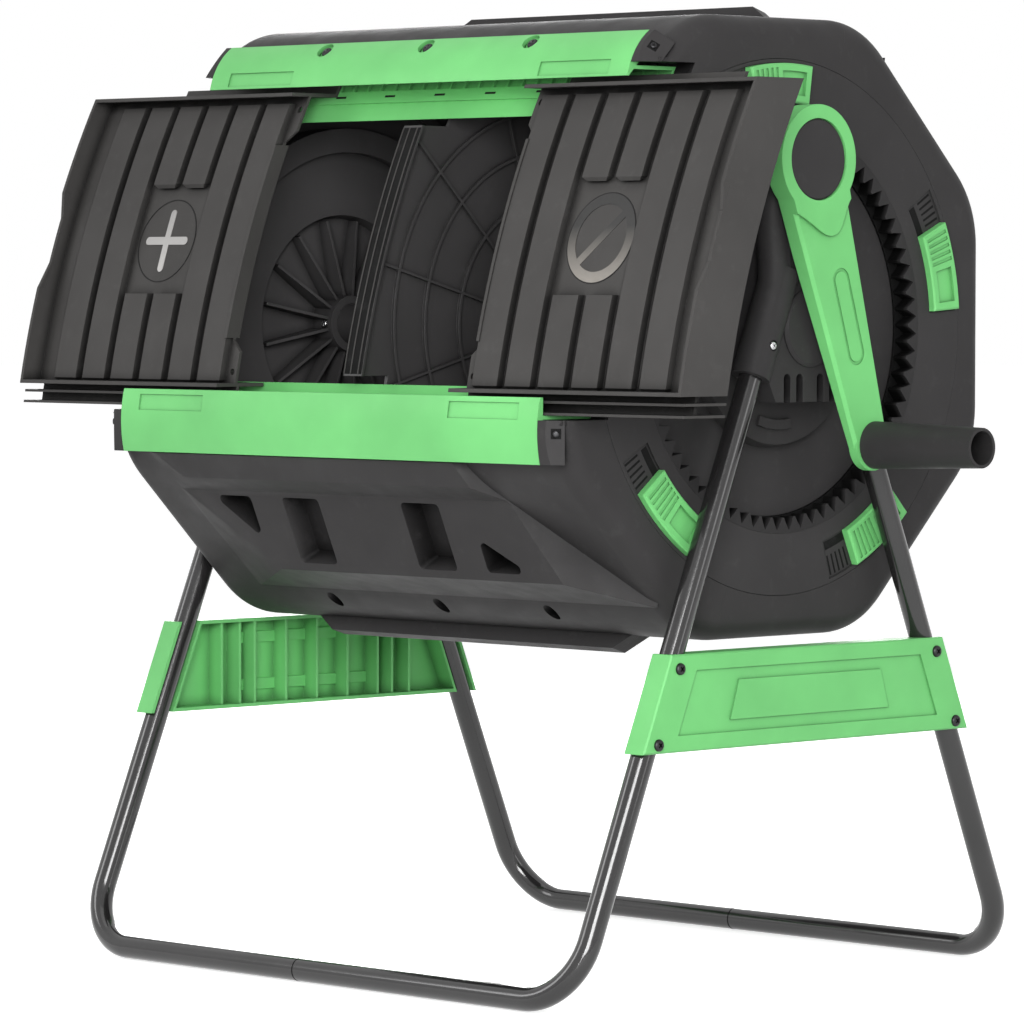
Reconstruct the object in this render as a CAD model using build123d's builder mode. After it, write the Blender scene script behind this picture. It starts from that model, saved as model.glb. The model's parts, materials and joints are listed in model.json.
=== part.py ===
"""Tumbling compost bin: an eight-sided drum with two sliding doors, turned by a geared crank on a tube frame.

Millimetres. The origin is on the floor under the middle of the drum, +X is the crank end, -Y the door side,
+Z up. Angles are measured about +X, from +Y towards +Z.
"""

import os
from math import acos, cos, hypot, pi, radians, sin, sqrt, tan

from build123d import *

os.makedirs("parts", exist_ok=True)

# Tube frame
tube_radius = 11
tube_wall = 1.5
leg_plane = 330
foot_reach = 297
leg_lean = 22.55
bend_radius = 60
leg_top = 650
seam_x = -25
spigot_length = 35
slip_clearance = 0.1

# Drum
axis_height = 609
apothem = 286
corner_radius = 100
half_length = 308
end_blend = 20
wall = 4
seam_lean = 17.5

# Seam ridges of the two shells
ridge_top = 314
ridge_foot = 276
ridge_flat = 190
ridge_base = 250
ridge_half = 9

# Doors, measured in the front view and along the draw direction Y
door_length = 289
door_top = 222
door_bottom = -58
door_top_y = -177
door_bottom_y = -275
door_arc = 980
left_open = 151
right_open = 163
door_wall = 3.5
rim_level = -14
rib_level = 1
floor_level = 9
back_level = 46
lip_level = -6
lip_web = 12
lip_thick = 2.5
lip_step = 6
rib_first = 30
rib_pitch = 42
rib_width = 32
rib_count = 6
rib_bevel = 4
sign_low = 30
sign_high = 132
notch_depth = 8
ear_width = 12
runner_drop = 19
runner_rise = 8
runner_short = 70
bay_clearance = 2.5
bay_high = 240
sill_start = 286
sill_low_level = -6
sill_high_level = 5

# Rails, with their bowed profiles given as (Y, height over the axis)
rail_half = 282
rail_plate = 4
rail_floor = 3.5
rail_gap = 0.5
seat_gap = 0.3
pad_start = 288
pad_end = 305
cover_outline = [(-180, 227.5), (-170.5, 250.5), (-151.5, 269.5)]
cover_low = 35
cover_high = 82
cover_panel = [(-190, 230), (-178.2, 230), (-173.4, 243), (-190, 243)]
plate_panel = [(-310, -66), (-290.4, -66), (-292.8, -81), (-310, -81)]
plate_outline = [(-290.5, -61), (-294.5, -92), (-291, -121)]
lip_back = -221
lip_front = -225
lip_top = -54
gusset_pitch = 19
gusset_count = 29
gusset_half = 1.5
gusset_depth = 3
gusset_low = 214
web_low = 233.5
web_high = 237
flange_low = 195
flange_level = 50
rail_screw_x = [-139, 0, 139]
rail_screw_up = 73
rail_seat = 9
rail_shank = 2.9
rail_head = 5.5
screw_pad = 8
panel_start = 167
panel_end = 257

# Screws and bosses of the shell seam
seam_screw_x = [-147, 0, 147]
seam_screw_y = -124
seam_screw_z = -264
seam_screw_end = -62
seam_head = 5.5
seam_shank = 3
seam_sink = 7
boss_radius = 9
boss_front = -150
boss_back = -55

# Hand-hold bulge on the lower front flat, given as (Y, height over the axis)
bulge_outline = [(-284.5, -122), (-274, -145), (-249, -157), (-217, -232), (-154, -253), (-140, -200),
                 (-230, -118)]
bulge_left = [(-229, -282, -131), (-139, -217, -232), (-240, -178, -228)]
bulge_right = [(176, -274, -145), (239, -217, -232), (280, -170, -236)]
pocket_depth = 22
pocket_taper = 7

# End discs, ring gear and pinion
disc_radius = 247
disc_seat = 239
disc_clearance = 0.4
hub_dish = 108
hub_bar = (85, 94, -108, -80)
hub_bar_rise = 3
hub_ribs = 16
recess_floor = 290
groove_floor = 279
dish_face = 302
ring_outer = 190
ring_back = 292
gear_module = 5
ring_teeth = 72
pinion_teeth = 10
pressure_angle = 28
ring_tip = 175.3
ring_root = 187
pinion_tip = 29.4
pinion_root = 18.4
tooth_slack = 0.55
pinion_angle = 98
pinion_width = 12

# Latches
latch_inner = 207
latch_outer = 243
latch_span = 20
latch_travel = 8
latch_face = 315
latch_angles = [92, 14, -56, -132]
latch_ways = [1, 1, -1, -1]
pocket_floor = 306.4
latch_bevel = 1.5
latch_panel = 3
groove_count = 5
groove_pitch = 1.6
groove_depth = 1.2

# Divider
divider_half = 12
divider_gap = 0.5
divider_level = 18
divider_lip = 3
divider_low = -46
divider_high = 188

# Axle, brackets and crank
axle_radius = 20
axle_wall = 3
axle_end = 336
axle_screw_radius = 2
axle_screw_angles = [45, 180, 315]
axle_screw_x = 280
running_clearance = 0.05
bracket_inner = 313
bracket_outer = 346
bracket_plate = (322, 342)
hub_radius = 36
plate_low = 541
plate_mid = 570
plate_top = 664
plate_foot = 46
slot_places = [-31, -14, 14, 31]
slot_height = 26
slot_width = 9
hub_bevel = 3
socket_low = 564
socket_radius = 18
limb_radius = 15
shaft_radius = 10
crank_back = 352
crank_face = 372
crank_reach = 274
crank_swing = -72.7
crank_ring = 50
crank_cap_radius = 37
cap_bevel = 1.5
arm_step = 3
arm_bevel = 3
arm_root = (-45, 34)
arm_tip = (-24.5, 20)
arm_round = 23
arm_thin = 9
step_curve = [(30, -60), (44, -36), (60, -20), (71, -6), (72, 4), (62, 17), (44, 40)]
grip_end = 498
grip_root_radius = 22
grip_tip_radius = 18.5
spindle_radius = 8
grip_gap = 0.6

# Side panels
panel_top = 317
panel_bottom = 229
panel_face = 345
panel_depth = 24
panel_skin = 3.5
panel_wrap = 14.5
screw_head = 5
screw_shank = 2.5

# Derived placements
channel_floor = door_bottom - runner_drop - seat_gap
bay_low = channel_floor - rail_floor - rail_gap
lean = radians(leg_lean)
door_chord = hypot(door_top_y - door_bottom_y, door_top - door_bottom)
chord_rise = sqrt(door_arc**2 - (door_chord / 2) ** 2)
arc_y = (door_top_y + door_bottom_y) / 2 + chord_rise * (door_top - door_bottom) / door_chord
arc_z = (door_top + door_bottom) / 2 - chord_rise * (door_top_y - door_bottom_y) / door_chord
gear_distance = gear_module * (ring_teeth - pinion_teeth) / 2
pinion_y = gear_distance * cos(radians(pinion_angle))
pinion_z = axis_height + gear_distance * sin(radians(pinion_angle))
grip_y = pinion_y + crank_reach * cos(radians(crank_swing))
grip_z = pinion_z + crank_reach * sin(radians(crank_swing))
drum_axis = Axis((0, 0, axis_height), (1, 0, 0))
seam_up = (0, sin(radians(seam_lean)), cos(radians(seam_lean)))
seam_plane = Plane(origin=(0, 0, axis_height), x_dir=(1, 0, 0), z_dir=(0, -seam_up[2], seam_up[1]))


def save(part, name):
    part.label = name
    export_step(part, f"parts/{name}.step")


def leg_y(height):
    """Distance of a leg's centre line from the middle plane at a height."""
    return foot_reach - (height - tube_radius) * tan(lean)


def door_y(height, shift):
    """Y of the door arc, moved inwards by shift, at a height over the drum axis."""
    return arc_y - sqrt(door_arc**2 - (height - arc_z) ** 2) + shift


def prism(x0, x1, outline):
    """A block between two X positions with an outline in (Y, height over the axis)."""
    with BuildPart() as block:
        with BuildSketch(Plane.YZ.offset(min(x0, x1))):
            with BuildLine():
                Polyline(*[(y, axis_height + z) for y, z in outline], close=True)
            make_face()
        extrude(amount=abs(x1 - x0))
    return block.part


def band(x0, x1, outer, inner, low, high):
    """A block between two X positions, bounded by two shifted door arcs and two heights."""
    mid = (low + high) / 2
    with BuildPart() as block:
        with BuildSketch(Plane.YZ.offset(min(x0, x1))):
            with BuildLine():
                outside = [(door_y(z, outer), axis_height + z) for z in (low, mid, high)]
                inside = [(door_y(z, inner), axis_height + z) for z in (high, mid, low)]
                ThreePointArc(*outside)
                Line(outside[2], inside[0])
                ThreePointArc(*inside)
                Line(inside[2], outside[0])
            make_face()
        extrude(amount=abs(x1 - x0))
    return block.part


def flat_plane(angle, lift):
    """Plane on one flat of the drum, X along the drum, raised by lift."""
    out = (0, cos(radians(angle)), sin(radians(angle)))
    reach = apothem + lift
    return Plane(origin=(0, reach * out[1], axis_height + reach * out[2]), x_dir=(1, 0, 0), z_dir=out)


def octagon_block(reach, radius, half, blend):
    """The drum's eight-sided solid with rounded corners and rounded ends."""
    corner = reach / cos(radians(22.5))
    angles = [radians(22.5 + 45 * k) for k in range(8)]
    with BuildPart() as block:
        with BuildSketch(Plane.YZ.offset(-half)):
            with BuildLine():
                Polyline(*[(corner * cos(a), axis_height + corner * sin(a)) for a in angles], close=True)
            make_face()
            fillet(vertices(), radius)
        extrude(amount=2 * half)
        ends = faces().sort_by(Axis.X)
        fillet(ends[0].edges() + ends[-1].edges(), blend)
    return block.part


def plane_through(points, inset):
    """Plane through three (X, Y, height over the axis) points, facing away from the middle, moved inwards."""
    a, b, c = [Vector(x, y, axis_height + z) for x, y, z in points]
    out = (b - a).cross(c - a).normalized()
    if out.X * a.X < 0:
        out = out * -1
    return Plane(origin=a - out * inset, x_dir=(b - a), z_dir=out)


def bulge_block(inset):
    """The hand-hold bulge, or with an inset the hollow behind it."""
    pull = inset * 1.3
    with BuildPart() as block:
        add(prism(-300, 300, [(y + pull * 0.8, z + pull * 0.6) for y, z in bulge_outline]))
        split(bisect_by=plane_through(bulge_left, inset), keep=Keep.BOTTOM)
        split(bisect_by=plane_through(bulge_right, inset), keep=Keep.BOTTOM)
    return block.part


def pocket_blocks(grow):
    """The four hand-hold pockets of the bulge, or with grow the material round them."""
    top, low = bulge_outline[2], bulge_outline[3]
    rise = (top[0] - low[0], top[1] - low[1])
    length = hypot(*rise)
    out = (0, -rise[1] / length, rise[0] / length)
    face = Plane(origin=(0, low[0], axis_height + low[1]), x_dir=(1, 0, 0), z_dir=out)
    outlines = [
        [(-106, 8), (-56, 8), (-56, 76), (-106, 76)],
        [(56, 8), (106, 8), (106, 76), (56, 76)],
        [(-150, 32), (-150, 76), (-203, 76)],
        [(146, 8), (202, 8), (146, 42)],
    ]
    with BuildPart() as block:
        for outline in outlines:
            with BuildSketch(face):
                with BuildLine():
                    Polyline(*outline, close=True)
                make_face()
                fillet(vertices(), 5)
                if grow:
                    offset(amount=grow)
            extrude(amount=-(pocket_depth + grow), taper=pocket_taper)
            if not grow:
                with BuildSketch(face):
                    with BuildLine():
                        Polyline(*outline, close=True)
                    make_face()
                    fillet(vertices(), 5)
                extrude(amount=40)
    return block.part


def turned(part):
    """The same part after half a turn about the drum axis."""
    return part.rotate(drum_axis, 180)


def cylinder_x(x0, x1, y, z, radius):
    """A round bar along X."""
    with BuildPart() as bar:
        with BuildSketch(Plane.YZ.offset(min(x0, x1))):
            with Locations((y, z)):
                Circle(radius)
        extrude(amount=abs(x1 - x0))
    return bar.part


def bevelled_bar(x0, x1, y, z, radius, bevel):
    """A round bar along +X with a bevel round its far end."""
    with BuildPart() as bar:
        add(cylinder_x(x0, x1, y, z, radius))
        chamfer(faces().sort_by(Axis.X)[-1].edges(), bevel)
    return bar.part


def cylinder_y(y0, y1, x, z, radius):
    """A round bar along Y."""
    with BuildPart() as bar:
        with BuildSketch(Plane.XZ.offset(-max(y0, y1))):
            with Locations((x, z)):
                Circle(radius)
        extrude(amount=abs(y1 - y0))
    return bar.part


def radial_bar(x, angle, start, end, radius):
    """A round bar that points away from the drum axis."""
    out = (0, cos(radians(angle)), sin(radians(angle)))
    with BuildPart() as bar:
        with BuildSketch(Plane(origin=(x, start * out[1], axis_height + start * out[2]), z_dir=out)):
            Circle(radius)
        extrude(amount=end - start)
    return bar.part


def cylinder_out(angle, x, up, start, end, radius):
    """A round bar square to one flat of the drum, between two lifts over it."""
    with BuildPart() as bar:
        with BuildSketch(flat_plane(angle, start)):
            with Locations((x, up)):
                Circle(radius)
        extrude(amount=end - start)
    return bar.part


def bowed(x0, x1, outside, inside):
    """A block between two X positions with a bowed outer face and a chain of inner points."""
    with BuildPart() as block:
        with BuildSketch(Plane.YZ.offset(min(x0, x1))):
            with BuildLine():
                ThreePointArc(*[(y, axis_height + z) for y, z in outside])
                Polyline(*[(y, axis_height + z) for y, z in [outside[2], *inside, outside[0]]])
            make_face()
        extrude(amount=abs(x1 - x0))
    return block.part


def flat_point(up, lift):
    """(Y, height over the axis) of a point on the upper front flat, up along it and lifted off it."""
    return (up - apothem - lift) * sqrt(0.5), (up + apothem + lift) * sqrt(0.5)


def upper_cover(x0, x1, inset, lift):
    """The upper rail's bowed cover as a block from a lift over the flat, or with an inset the room in it."""
    shift = inset * sqrt(0.5)
    outside = [(y + shift, z - shift) for y, z in cover_outline]
    return bowed(x0, x1, outside, [flat_point(cover_high, lift), flat_point(cover_low, lift)])


def sloped(block, side, angle, start, lift):
    """A block on one flat of the drum, its outer end cut down at 45 degrees."""
    out = Vector(0, cos(radians(angle)), sin(radians(angle)))
    origin = Vector(side * start, 0, axis_height) + out * (apothem + lift)
    with BuildPart() as cut:
        add(block)
        split(bisect_by=Plane(origin=origin, z_dir=Vector(side, 0, 0) + out), keep=Keep.BOTTOM)
    return cut.part


def lower_plate(x0, x1, back):
    """The lower rail's bowed face plate, with a flat back at a distance from the axis."""
    return bowed(x0, x1, plate_outline, [(-back, plate_outline[2][1]), (-back, plate_outline[0][1])])


# Drum shells, cut from one hollow body along the seam plane
def screw_boss(x, grow):
    """The boss of one seam screw, standing on the drum wall, or with grow the room round it."""
    half = boss_radius + grow
    front, back = boss_front - grow, boss_back + grow
    with BuildPart() as boss:
        add(cylinder_y(front, back, x, axis_height + seam_screw_z, half))
        add(prism(x - half, x + half, [(front, seam_screw_z), (back, seam_screw_z), (back, -apothem),
                                       (front, -apothem)]))
    return boss.part


outer = octagon_block(apothem, corner_radius, half_length, end_blend)
hollow = octagon_block(apothem - wall, corner_radius - wall, half_length - wall, end_blend - wall)
bulge = bulge_block(0)
bulge_hollow = bulge_block(wall)
pockets = pocket_blocks(0)
pocket_walls = pocket_blocks(wall)
bay = band(-half_length - 10, half_length + 10, -160, back_level + bay_clearance, bay_low, bay_high)
with BuildPart() as ridge:
    with BuildSketch(seam_plane):
        with BuildLine():
            Polyline((-ridge_base, ridge_foot), (-ridge_flat, ridge_top), (ridge_flat, ridge_top),
                     (ridge_base, ridge_foot), close=True)
        make_face()
    extrude(amount=ridge_half, both=True)
with BuildPart() as screw_bosses:
    for x in seam_screw_x:
        add(screw_boss(x, 0))
    add(outer, mode=Mode.INTERSECT)
with BuildPart() as cavity:
    add(hollow)
    add(bulge_hollow)
    add(turned(bulge_hollow))
    add(pocket_walls, mode=Mode.SUBTRACT)
    add(turned(pocket_walls), mode=Mode.SUBTRACT)
    add(screw_bosses.part, mode=Mode.SUBTRACT)
    add(turned(screw_bosses.part), mode=Mode.SUBTRACT)
sill_low = bay_low - wall
sill_high = bay_high + wall
sill_level = back_level + bay_clearance + wall
sill_back = [(door_y(z, sill_level), z) for z in (sill_low, (sill_low + sill_high) / 2, sill_high)]
sill_front = [(door_y(sill_high, sill_high_level), sill_high), (door_y(sill_low, sill_low_level), sill_low)]
sill_end = half_length - wall - disc_clearance
sill_blocks = [bowed(side * sill_start, side * sill_end, sill_back, sill_front) for side in (-1, 1)]
rail_pads = []
for side in (-1, 1):
    ends = (side * (rail_half + rail_gap), side * pad_end)
    rail_pads.append(sloped(upper_cover(*ends, 0, -wall), side, 135, pad_start, 13))
    rail_pads.append(sloped(lower_plate(*ends, apothem - wall), side, 180, pad_start + 4, 9))
screw_holes = []
for x in seam_screw_x:
    screw_holes.append(cylinder_y(boss_front - 20, seam_screw_y, x, axis_height + seam_screw_z, seam_sink))
    screw_holes.append(cylinder_y(seam_screw_y - 1, seam_screw_end + 2, x, axis_height + seam_screw_z,
                                  seam_shank + slip_clearance))
with BuildPart() as drum_body:
    add(outer)
    add(bulge)
    add(turned(bulge))
    add(ridge.part)
    add(turned(ridge.part))
    add(pockets, mode=Mode.SUBTRACT)
    add(turned(pockets), mode=Mode.SUBTRACT)
    add(cavity.part, mode=Mode.SUBTRACT)
    for block in rail_pads:
        add(block)
    for side in (-1, 1):
        add(cylinder_x(side * (half_length - 2 * wall), side * (half_length - wall), 0, axis_height,
                       disc_radius + wall))
        add(cylinder_x(side * (half_length - 3 * wall), side * half_length, 0, axis_height, disc_seat),
            mode=Mode.SUBTRACT)
        add(cylinder_x(side * (half_length - wall), side * (half_length + 1), 0, axis_height,
                       disc_radius + disc_clearance), mode=Mode.SUBTRACT)
    for block in sill_blocks:
        add(block)
    add(bay, mode=Mode.SUBTRACT)
    for hole in screw_holes:
        add(hole, mode=Mode.SUBTRACT)
        add(turned(hole), mode=Mode.SUBTRACT)
    for x in rail_screw_x:
        add(cylinder_out(135, x, rail_screw_up, -2 * wall, 5, 3), mode=Mode.SUBTRACT)
with BuildPart() as front_shell:
    add(drum_body.part)
    split(bisect_by=seam_plane, keep=Keep.TOP)
with BuildPart() as rear_shell:
    add(drum_body.part)
    split(bisect_by=seam_plane, keep=Keep.BOTTOM)
save(front_shell.part, "front_shell")
save(rear_shell.part, "rear_shell")

# Screws of the shell seam
with BuildPart() as seam_screws:
    for x in seam_screw_x:
        for bar in (cylinder_y(seam_screw_y - 4, seam_screw_y, x, axis_height + seam_screw_z, seam_head),
                    cylinder_y(seam_screw_y, seam_screw_end, x, axis_height + seam_screw_z, seam_shank)):
            add(bar)
            add(turned(bar))
save(seam_screws.part, "seam_screws")

# Lower rail: bowed face plate, channel floor and inner lip for the door runners
channel_low = channel_floor - rail_floor
with BuildPart() as lower_rail:
    add(lower_plate(-rail_half, rail_half, apothem + rail_gap))
    add(prism(-rail_half, rail_half, [(-apothem - 1, channel_low), (lip_back, channel_low), (lip_back, lip_top),
                                      (lip_front, lip_top), (lip_front, channel_floor),
                                      (-apothem - 1, channel_floor)]))
    for side in (-1, 1):
        add(prism(side * panel_start, side * panel_end, plate_panel), mode=Mode.SUBTRACT)
save(lower_rail.part, "lower_rail")

# Upper rail: bowed cover on the upper front flat, web, inner flange and a row of gussets
with BuildPart() as upper_rail:
    add(upper_cover(-rail_half, rail_half, 0, rail_gap))
    add(upper_cover(-rail_half + rail_plate, rail_half - rail_plate, rail_plate, -rail_plate),
        mode=Mode.SUBTRACT)
    top_y, top_z = cover_outline[2]
    add(prism(-rail_half, rail_half, [(top_y, top_z), flat_point(cover_high, rail_gap),
                                      flat_point(cover_high - rail_plate, rail_gap),
                                      (top_y - 3.5, top_z - 4)]))
    for x in rail_screw_x:
        add(cylinder_out(135, x, rail_screw_up, rail_gap, rail_seat, screw_pad))
    web_front = cover_outline[0][0] + rail_plate
    web_back = door_y(web_high, flange_level + wall)
    add(prism(-rail_half, rail_half, [(web_front, web_low), (web_back, web_low), (web_back, web_high),
                                      (web_front + 1, web_high)]))
    add(band(-rail_half, rail_half, flange_level, flange_level + wall, flange_low, web_high))
    for k in range(gusset_count):
        x = gusset_pitch * (k - (gusset_count - 1) / 2)
        add(band(x - gusset_half, x + gusset_half, flange_level - gusset_depth, flange_level + 1, gusset_low,
                 web_low + 1))
    for side in (-1, 1):
        add(prism(side * panel_start, side * panel_end, cover_panel), mode=Mode.SUBTRACT)
    for x in rail_screw_x:
        add(cylinder_out(135, x, rail_screw_up, rail_seat, rail_seat + 8, screw_pad + 1),
            mode=Mode.SUBTRACT)
        add(cylinder_out(135, x, rail_screw_up, 0, rail_seat + 5, rail_shank + slip_clearance),
            mode=Mode.SUBTRACT)
save(upper_rail.part, "upper_rail")
with BuildPart() as rail_screws:
    for x in rail_screw_x:
        add(cylinder_out(135, x, rail_screw_up, -wall, rail_seat + 0.5, rail_shank))
        add(cylinder_out(135, x, rail_screw_up, rail_seat, rail_seat + 3, rail_head))
save(rail_screws.part, "rail_screws")


# Sliding doors: a tray on the door arc with six ribs, a rim on three sides, ears and two runners
def rib_block(x, low, high):
    """One raised rib along the door arc with bevelled long edges."""
    with BuildPart() as block:
        add(band(x - rib_width / 2, x + rib_width / 2, rib_level, floor_level + 1, low, high))
        chamfer(faces().sort_by(Axis.Y)[0].edges(), rib_bevel)
    return block.part


def door(side, opened):
    """One door, its inner edge opened away from the middle of the drum."""

    def at(u):
        return side * (opened + u)

    notch = (door_top - door_bottom) / 3
    with BuildPart() as tray:
        add(band(at(0), at(door_length), floor_level, floor_level + door_wall, door_bottom, door_top))
        for k in range(rib_count):
            x = at(rib_first + rib_pitch * k)
            if k in (2, 3):
                add(rib_block(x, door_bottom + 2, sign_low))
                add(rib_block(x, sign_high, door_top - 10))
            else:
                add(rib_block(x, door_bottom + 2, door_top - 10))
        with BuildSketch(Plane.XZ.offset(400)):
            with BuildLine():
                Polyline((at(-1), axis_height + door_bottom + 32),
                         (at(ear_width), axis_height + door_bottom + 44),
                         (at(ear_width), axis_height + door_top - 48),
                         (at(-1), axis_height + door_top - 36), close=True)
            make_face()
            with Locations((at(6), axis_height + door_bottom + 14), (at(6), axis_height + door_top - 16)):
                Circle(3)
        extrude(amount=-300, mode=Mode.SUBTRACT)
        add(band(at(ear_width), at(ear_width + door_wall), 0, floor_level + 8, door_bottom + 46,
                 door_top - 50))
        add(band(at(0), at(door_length), rim_level, back_level, door_top - door_wall, door_top))
        add(band(at(0), at(door_length), rim_level, back_level, door_bottom, door_bottom + door_wall))
        add(band(at(door_length - door_wall), at(door_length), rim_level, back_level, door_bottom, door_top))
        add(band(at(door_length - door_wall - 1), at(door_length + 1), rim_level - 1, rim_level + notch_depth,
                 door_bottom + notch, door_top - notch), mode=Mode.SUBTRACT)
        add(band(at(0), at(door_length - lip_step), lip_web, lip_web + door_wall, door_bottom - runner_drop,
                 door_bottom))
        for drop in (lip_step, runner_drop - lip_thick):
            add(band(at(0), at(door_length), lip_level, back_level, door_bottom - drop - lip_thick,
                     door_bottom - drop))
        add(band(at(0), at(door_length - runner_short), back_level - door_wall, back_level, door_top,
                 door_top + runner_rise))
    return tray.part


save(door(-1, left_open), "left_door")
save(door(1, right_open), "right_door")

# End discs with a stepped recess, a ribbed hub and four latch tracks
def sector(x0, x1, inner, outer_radius, start, end):
    """Part of a flat ring about the drum axis between two angles."""
    mid = (start + end) / 2

    def spot(radius, angle):
        return radius * cos(radians(angle)), axis_height + radius * sin(radians(angle))

    with BuildPart() as block:
        with BuildSketch(Plane.YZ.offset(min(x0, x1))):
            with BuildLine():
                ThreePointArc(spot(outer_radius, start), spot(outer_radius, mid), spot(outer_radius, end))
                Line(spot(outer_radius, end), spot(inner, end))
                ThreePointArc(spot(inner, end), spot(inner, mid), spot(inner, start))
                Line(spot(inner, start), spot(outer_radius, start))
            make_face()
        extrude(amount=abs(x1 - x0))
    return block.part


def latch_range(angle, way, margin):
    """Start and end angle of a latch track."""
    low = angle - latch_span / 2 - margin
    high = angle + latch_span / 2 + margin
    return (low, high + latch_travel) if way > 0 else (low - latch_travel, high)


with BuildPart() as end_disc:
    bore = axle_radius + slip_clearance
    seat = ring_outer + slip_clearance
    with BuildSketch(Plane.XZ):
        with BuildLine():
            Polyline(*[(x, axis_height + r) for x, r in [
                (dish_face, bore), (dish_face, hub_dish), (recess_floor, hub_dish + 3),
                (recess_floor, ring_tip - 1), (groove_floor, ring_tip - 1), (groove_floor, ring_root),
                (recess_floor, ring_root), (recess_floor, seat), (half_length, seat),
                (half_length, disc_radius), (half_length - wall, disc_radius), (half_length - wall, seat + wall),
                (groove_floor - wall, seat + wall), (groove_floor - wall, ring_tip - 1 - wall),
                (recess_floor - wall, ring_tip - 1 - wall),
                (recess_floor - wall, hub_dish), (dish_face - wall, hub_dish - 3), (dish_face - wall, 30),
                (dish_face - 30, 28), (dish_face - 30, bore)]], close=True)
        make_face()
    revolve(axis=drum_axis, revolution_arc=360)
    for k in range(hub_ribs):
        angle = 360 / hub_ribs * (k + 0.5)
        ray = Plane(origin=(0, 0, axis_height), x_dir=(1, 0, 0),
                    z_dir=(0, -sin(radians(angle)), cos(radians(angle))))
        with BuildSketch(ray):
            with BuildLine():
                Polyline((dish_face - wall + 1, -26), (dish_face - wall + 1, -hub_dish + 4),
                         (recess_floor - wall, -hub_dish + 4), (dish_face - 26, -26), close=True)
            make_face()
        extrude(amount=1.5, both=True)
    add(sector(dish_face - 1, dish_face + hub_bar_rise, *hub_bar))
    for angle, way in zip(latch_angles, latch_ways):
        start, end = latch_range(angle, way, 0.3)
        add(sector(pocket_floor, half_length + 1, latch_inner - 0.4, latch_outer + 0.4, start, end),
            mode=Mode.SUBTRACT)
    for angle in axle_screw_angles:
        add(radial_bar(axle_screw_x, angle, axle_radius - 5, 40, axle_screw_radius + slip_clearance),
            mode=Mode.SUBTRACT)
    add(bay, mode=Mode.SUBTRACT)
save(end_disc.part, "end_disc_right")
end_disc_left = mirror(end_disc.part, about=Plane.YZ)
save(end_disc_left, "end_disc_left")


def latch(angle, way):
    """A sliding latch with thumb grooves on its leading half and a sunk panel on the other."""
    half = latch_span / 2

    def part_of(low, high):
        """Start and end angle between two offsets that count towards the leading end."""
        return sorted((angle + way * low, angle + way * high))

    with BuildPart() as slide:
        add(sector(pocket_floor + 0.1, latch_face, latch_inner, latch_outer, angle - half, angle + half))
        chamfer(faces().sort_by(Axis.X)[-1].edges(), latch_bevel)
        add(sector(latch_face - latch_panel, latch_face + 1, latch_inner + 7, latch_outer - 7,
                   *part_of(2 - half, 0)), mode=Mode.SUBTRACT)
        for k in range(groove_count):
            groove = 1.5 + groove_pitch * k
            add(sector(latch_face - groove_depth, latch_face + 1, latch_inner + 4, latch_outer - 4,
                       *part_of(groove, groove + groove_pitch / 2)), mode=Mode.SUBTRACT)
    return slide.part


for number, (angle, way) in enumerate(zip(latch_angles, latch_ways), 1):
    slide = latch(angle, way)
    save(slide, f"latch_right_{number}")
    save(mirror(slide, about=Plane.YZ), f"latch_left_{number}")


# Ring gear and pinion, involute flanks
def involute(angle):
    return tan(angle) - angle


def gear_outline(teeth, radii, slack, turn):
    """Points of an external gear with each flank through the given radii, tooth one at the angle turn."""
    pitch = gear_module * teeth / 2
    base = pitch * cos(radians(pressure_angle))

    def half_angle(radius):
        roll = acos(base / radius) if radius > base else 0
        return pi / (2 * teeth) + slack / 2 / pitch + involute(radians(pressure_angle)) - involute(roll)

    points = []
    for k in range(teeth):
        middle = radians(turn) + 2 * pi * k / teeth
        for radius in radii:
            points.append((radius, middle - half_angle(radius)))
        for radius in reversed(radii):
            points.append((radius, middle + half_angle(radius)))
    return [(radius * cos(a), radius * sin(a)) for radius, a in points]


ring_pitch = gear_module * ring_teeth / 2
pinion_pitch = gear_module * pinion_teeth / 2
pinion_base = pinion_pitch * cos(radians(pressure_angle))
with BuildPart() as ring_gear:
    with BuildSketch(Plane.YZ.offset(ring_back)):
        with Locations((0, axis_height)):
            Circle(ring_outer)
    extrude(amount=half_length - ring_back)
    with BuildSketch(Plane.YZ.offset(ring_back - 1)):
        with BuildLine():
            Polyline(*[(y, axis_height + z) for y, z in gear_outline(
                ring_teeth, [ring_tip, ring_pitch, ring_root], tooth_slack, pinion_angle)], close=True)
        make_face()
    extrude(amount=half_length - ring_back + 2, mode=Mode.SUBTRACT)
save(ring_gear.part, "ring_gear")
with BuildPart() as pinion:
    with BuildSketch(Plane.YZ.offset(half_length - 1 - pinion_width)):
        with BuildLine():
            Polyline(*[(pinion_y + y, pinion_z + z) for y, z in gear_outline(
                pinion_teeth, [pinion_root, pinion_base, pinion_pitch, pinion_tip], -tooth_slack,
                pinion_angle)], close=True)
        make_face()
        with Locations((pinion_y, pinion_z)):
            Circle(shaft_radius + slip_clearance, mode=Mode.SUBTRACT)
    extrude(amount=pinion_width)
save(pinion.part, "pinion")

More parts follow.
